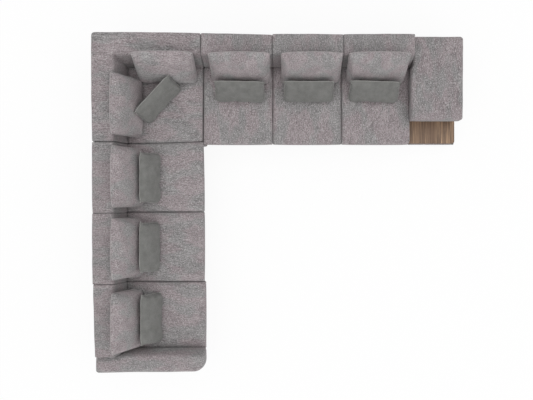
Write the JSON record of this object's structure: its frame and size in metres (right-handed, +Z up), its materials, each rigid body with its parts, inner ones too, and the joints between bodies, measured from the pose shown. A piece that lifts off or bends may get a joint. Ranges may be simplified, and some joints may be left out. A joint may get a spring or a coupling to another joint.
{
  "type": "corner sofa",
  "caption": "Modular L-shaped corner sofa with sloped backs, loose back and accent cushions, one end arm, and a wood-topped console with a tall upholstered arm pad.",
  "frame": {"origin": "centre of the footprint, on the floor", "axes": "+X along the rear run towards the console, +Y towards the rear run's back, +Z up"},
  "size_m": [3.65, 3.3758, 0.8553],
  "materials": {
    "main_fabric": "heathered grey and mauve chenille weave",
    "accent_fabric": "smooth plain grey",
    "console_wood": "satin walnut, grain along the depth",
    "frame_timber": "raw planed softwood",
    "webbing": "elastic webbing",
    "underside_cloth": "thin black non-woven cloth",
    "steel": "zinc plated",
    "foot_plastic": "moulded black"
  },
  "bodies": {
    "sofa": {"base_frame_corner": "frame_timber", "base_frame_rear_1": "frame_timber", "base_frame_rear_2": "frame_timber", "base_frame_rear_3": "frame_timber", "base_frame_left_1": "frame_timber", "base_frame_left_2": "frame_timber", "base_frame_left_3": "frame_timber", "base_cover_corner": "main_fabric", "base_cover_rear_1": "main_fabric", "base_cover_rear_2": "main_fabric", "base_cover_rear_3": "main_fabric", "base_cover_left_1": "main_fabric", "base_cover_left_2": "main_fabric", "base_cover_left_3": "main_fabric", "seat_cushion_corner": "main_fabric", "seat_cushion_rear_1": "main_fabric", "seat_cushion_rear_2": "main_fabric", "seat_cushion_rear_3": "main_fabric", "seat_cushion_left_1": "main_fabric", "seat_cushion_left_2": "main_fabric", "seat_cushion_left_3": "main_fabric", "back_corner_rear": "main_fabric", "back_corner_left": "main_fabric", "back_rear_1": "main_fabric", "back_rear_2": "main_fabric", "back_rear_3": "main_fabric", "back_left_1": "main_fabric", "back_left_2": "main_fabric", "back_left_3": "main_fabric", "end_arm": "main_fabric", "arm_frame": "frame_timber", "console_frame": "frame_timber", "console_cover": "main_fabric", "console_board": "console_wood", "arm_pad": "main_fabric", "pad_frame": "frame_timber", "back_frames": "frame_timber", "seat_webbing": "webbing", "underside_cloths": "underside_cloth", "frame_bolts": "steel", "link_plates": "steel", "link_bolts": "steel", "feet": "foot_plastic", "foot_studs": "steel"},
    "back_cushion_corner_rear_body": {"back_cushion_corner_rear": "main_fabric"},
    "back_cushion_corner_left_body": {"back_cushion_corner_left": "main_fabric"},
    "back_cushion_rear_1_body": {"back_cushion_rear_1": "main_fabric"},
    "back_cushion_rear_2_body": {"back_cushion_rear_2": "main_fabric"},
    "back_cushion_rear_3_body": {"back_cushion_rear_3": "main_fabric"},
    "back_cushion_left_1_body": {"back_cushion_left_1": "main_fabric"},
    "back_cushion_left_2_body": {"back_cushion_left_2": "main_fabric"},
    "back_cushion_left_3_body": {"back_cushion_left_3": "main_fabric"},
    "accent_cushion_corner_body": {"accent_cushion_corner": "accent_fabric"},
    "accent_cushion_rear_1_body": {"accent_cushion_rear_1": "accent_fabric"},
    "accent_cushion_rear_2_body": {"accent_cushion_rear_2": "accent_fabric"},
    "accent_cushion_rear_3_body": {"accent_cushion_rear_3": "accent_fabric"},
    "accent_cushion_left_1_body": {"accent_cushion_left_1": "accent_fabric"},
    "accent_cushion_left_2_body": {"accent_cushion_left_2": "accent_fabric"},
    "accent_cushion_left_3_body": {"accent_cushion_left_3": "accent_fabric"}
  },
  "joints": [
    {"name": "back_cushion_corner_rear_lift", "type": "slide", "parent": "sofa", "child": "back_cushion_corner_rear_body", "axis": [0, 0.2588, 0.9659], "range_m": [0, 0.45]},
    {"name": "back_cushion_corner_left_lift", "type": "slide", "parent": "sofa", "child": "back_cushion_corner_left_body", "axis": [-0.2588, 0, 0.9659], "range_m": [0, 0.45]},
    {"name": "back_cushion_rear_1_lift", "type": "slide", "parent": "sofa", "child": "back_cushion_rear_1_body", "axis": [0, 0.2588, 0.9659], "range_m": [0, 0.45]},
    {"name": "back_cushion_rear_2_lift", "type": "slide", "parent": "sofa", "child": "back_cushion_rear_2_body", "axis": [0, 0.2588, 0.9659], "range_m": [0, 0.45]},
    {"name": "back_cushion_rear_3_lift", "type": "slide", "parent": "sofa", "child": "back_cushion_rear_3_body", "axis": [0, 0.2588, 0.9659], "range_m": [0, 0.45]},
    {"name": "back_cushion_left_1_lift", "type": "slide", "parent": "sofa", "child": "back_cushion_left_1_body", "axis": [-0.2588, 0, 0.9659], "range_m": [0, 0.45]},
    {"name": "back_cushion_left_2_lift", "type": "slide", "parent": "sofa", "child": "back_cushion_left_2_body", "axis": [-0.2588, 0, 0.9659], "range_m": [0, 0.45]},
    {"name": "back_cushion_left_3_lift", "type": "slide", "parent": "sofa", "child": "back_cushion_left_3_body", "axis": [-0.2588, 0, 0.9659], "range_m": [0, 0.45]},
    {"name": "accent_cushion_corner_lift", "type": "slide", "parent": "sofa", "child": "accent_cushion_corner_body", "axis": [0, 0, 1], "range_m": [0, 0.45]},
    {"name": "accent_cushion_rear_1_lift", "type": "slide", "parent": "sofa", "child": "accent_cushion_rear_1_body", "axis": [0, 0, 1], "range_m": [0, 0.45]},
    {"name": "accent_cushion_rear_2_lift", "type": "slide", "parent": "sofa", "child": "accent_cushion_rear_2_body", "axis": [0, 0, 1], "range_m": [0, 0.45]},
    {"name": "accent_cushion_rear_3_lift", "type": "slide", "parent": "sofa", "child": "accent_cushion_rear_3_body", "axis": [0, 0, 1], "range_m": [0, 0.45]},
    {"name": "accent_cushion_left_1_lift", "type": "slide", "parent": "sofa", "child": "accent_cushion_left_1_body", "axis": [0, 0, 1], "range_m": [0, 0.45]},
    {"name": "accent_cushion_left_2_lift", "type": "slide", "parent": "sofa", "child": "accent_cushion_left_2_body", "axis": [0, 0, 1], "range_m": [0, 0.45]},
    {"name": "accent_cushion_left_3_lift", "type": "slide", "parent": "sofa", "child": "accent_cushion_left_3_body", "axis": [0, 0, 1], "range_m": [0, 0.45]}
  ]
}
